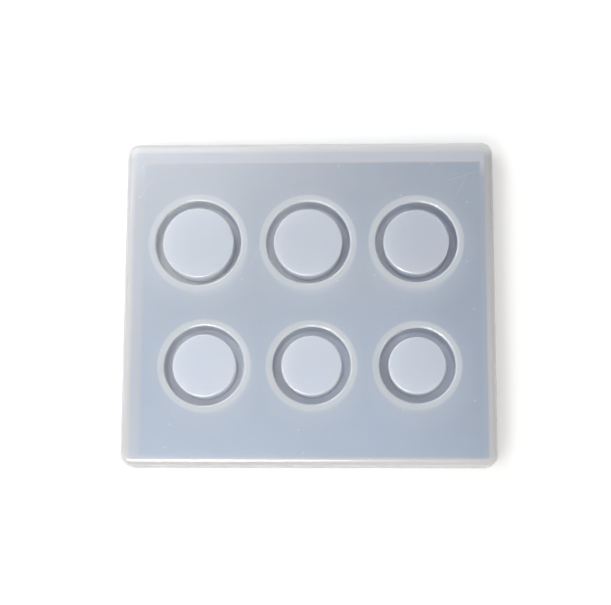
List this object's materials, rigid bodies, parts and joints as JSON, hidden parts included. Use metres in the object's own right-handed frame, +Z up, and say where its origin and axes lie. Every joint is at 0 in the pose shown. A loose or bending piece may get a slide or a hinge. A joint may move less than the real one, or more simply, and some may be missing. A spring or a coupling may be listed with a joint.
{
  "type": "resin casting mould for rings",
  "caption": "Flexible translucent silicone tray mould with round cups, each with a central core, that casts finger rings of graded sizes in resin.",
  "frame": {"origin": "on the table, under the middle of the mould's outline", "axes": "+Z up out of the cavities' mouths, +X along the long side towards the smaller ring sizes, +Y towards the row with the larger ring sizes"},
  "size_m": [0.102, 0.09, 0.009],
  "materials": {
    "silicone": "satin, milky and translucent"
  },
  "bodies": {
    "root": {"top_web": "silicone", "front_skirt": "silicone", "back_skirt": "silicone", "left_skirt": "silicone", "right_skirt": "silicone", "cup_wall_size_10": "silicone", "cup_wall_size_9": "silicone", "cup_wall_size_8": "silicone", "cup_wall_size_7": "silicone", "cup_wall_size_6": "silicone", "cup_wall_size_5": "silicone", "cup_floor_size_10": "silicone", "cup_floor_size_9": "silicone", "cup_floor_size_8": "silicone", "cup_floor_size_7": "silicone", "cup_floor_size_6": "silicone", "cup_floor_size_5": "silicone", "core_size_10": "silicone", "core_size_9": "silicone", "core_size_8": "silicone", "core_size_7": "silicone", "core_size_6": "silicone", "core_size_5": "silicone"}
  },
  "joints": []
}
